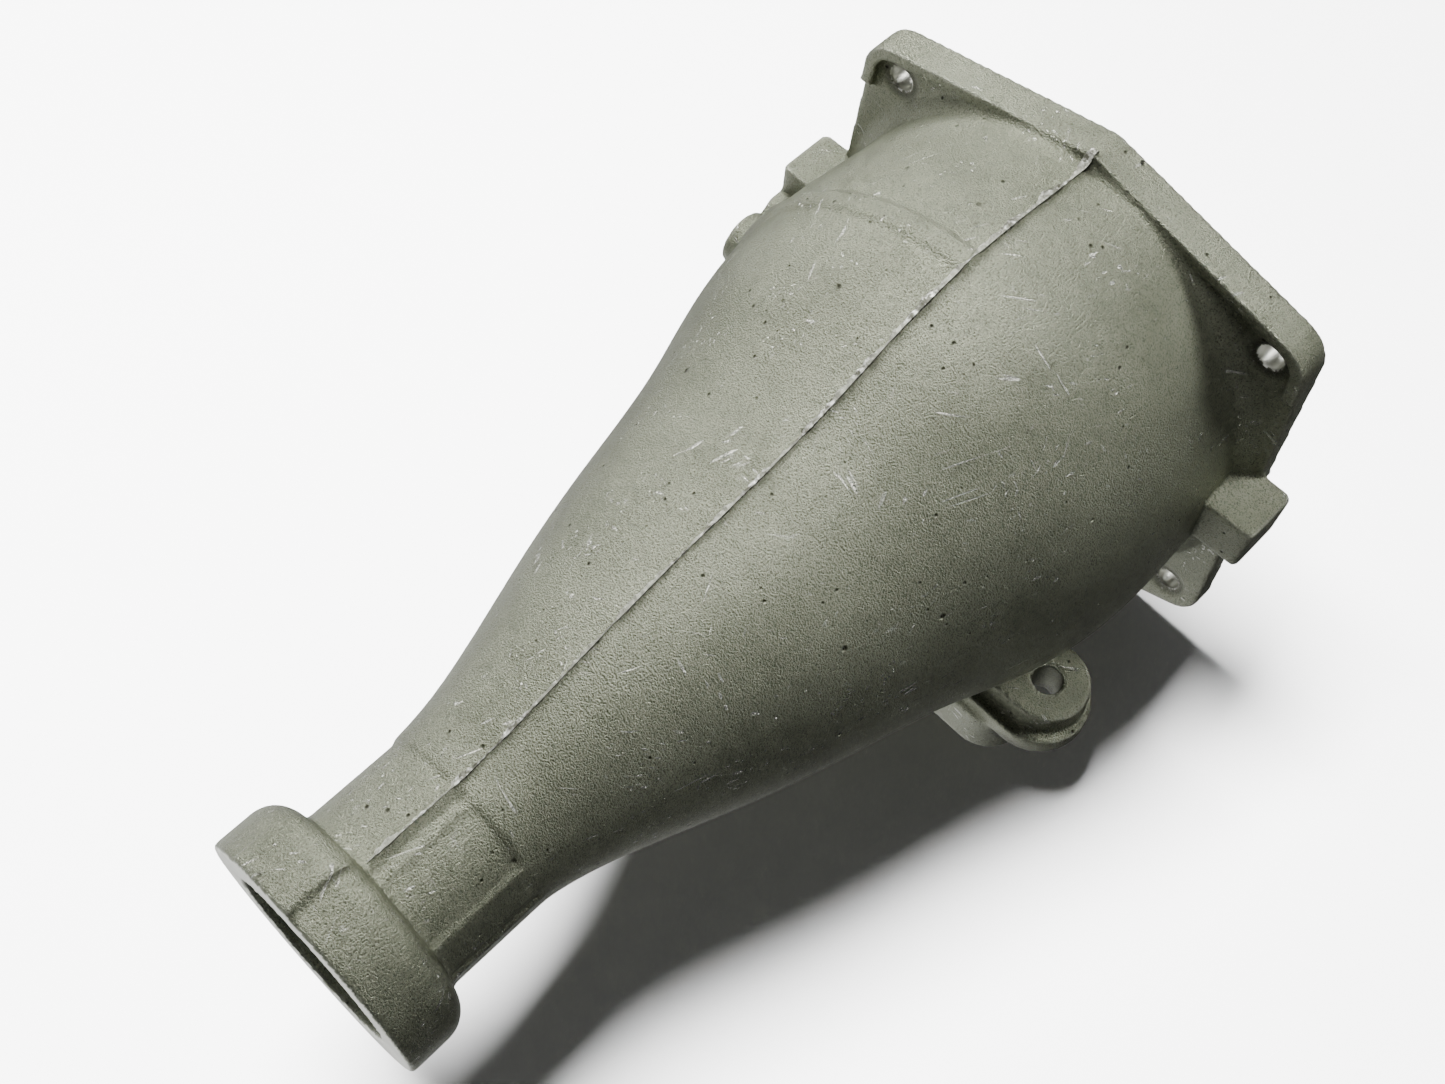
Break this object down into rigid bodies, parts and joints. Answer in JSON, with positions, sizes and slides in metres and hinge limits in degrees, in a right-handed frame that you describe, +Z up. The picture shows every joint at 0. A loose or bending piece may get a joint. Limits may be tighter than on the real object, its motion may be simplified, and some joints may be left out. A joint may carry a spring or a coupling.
{
  "type": "manual transmission extension housing",
  "caption": "Cast tapering tail housing of a manual transmission, with its bearing, output shaft, rear bush, oil seal, speedometer gears and reverse shift lever.",
  "frame": {"origin": "on the output shaft's axis, at the plane of the flange's mounting face", "axes": "+Y along the shaft, forward into the gear case; +X the vehicle's right; +Z up"},
  "size_m": [0.257, 0.46, 0.2528],
  "materials": {
    "cast_aluminium": "as cast, fine grain",
    "ground_steel": "ground",
    "bearing_steel": "polished",
    "bush_bronze": "machined",
    "zinc_steel": "zinc plated",
    "spring_steel": "oil tempered",
    "seal_rubber": "satin",
    "seal_paint": "thin lacquer",
    "gear_nylon": "moulded",
    "driven_nylon": "moulded"
  },
  "bodies": {
    "housing": {"extension_housing": "cast_aluminium", "dowel_pins": "ground_steel", "yoke_bush": "bush_bronze", "seal_case": "seal_paint", "seal_lip": "seal_rubber", "seal_garter_spring": "spring_steel", "bearing_outer_race": "bearing_steel", "bearing_retaining_ring": "spring_steel", "speedo_sleeve": "zinc_steel", "speedo_sleeve_o_ring": "seal_rubber", "speedo_spindle_seal": "seal_rubber", "speedo_clamp": "zinc_steel", "speedo_clamp_bolt": "zinc_steel", "shift_shaft_bushes": "bush_bronze", "shift_shaft_seal": "seal_rubber", "detent_ball": "bearing_steel", "detent_spring": "spring_steel", "detent_plug": "zinc_steel"},
    "output_shaft_group": {"output_shaft": "ground_steel", "bearing_inner_race": "bearing_steel", "bearing_shaft_snap_ring": "spring_steel", "speedo_drive_gear": "gear_nylon", "speedo_gear_clip": "spring_steel"},
    "ball_cage_group": {"bearing_cage": "bush_bronze", "bearing_balls": "bearing_steel"},
    "speedo_pinion_group": {"speedo_driven_gear": "driven_nylon"},
    "shift_shaft_group": {"shift_shaft": "ground_steel", "inner_shift_lever": "ground_steel", "inner_lever_pin": "ground_steel", "outer_shift_lever": "zinc_steel", "lever_washer": "zinc_steel", "lever_nut": "zinc_steel"}
  },
  "joints": [
    {"name": "output_spin", "type": "hinge", "parent": "housing", "child": "output_shaft_group", "pos_m": [0, 0, 0], "axis": [0, 1, 0], "continuous": true},
    {"name": "ball_cage_spin", "type": "hinge", "parent": "housing", "child": "ball_cage_group", "pos_m": [0, -0.0775, 0], "axis": [0, 1, 0], "continuous": true},
    {"name": "speedo_pinion_spin", "type": "hinge", "parent": "housing", "child": "speedo_pinion_group", "pos_m": [0.02194, -0.128, -0.02614], "axis": [-0.766, 0, -0.6428], "continuous": true},
    {"name": "reverse_shift", "type": "hinge", "parent": "housing", "child": "shift_shaft_group", "pos_m": [-0.09039, -0.048, -0.09785], "axis": [-0.766, 0, -0.6428], "range_deg": [0, 20]}
  ],
  "couplings": [
    {"joint": "ball_cage_spin", "follows": "output_spin", "ratio": 0.39626},
    {"joint": "speedo_pinion_spin", "follows": "output_spin", "ratio": -0.44444}
  ]
}
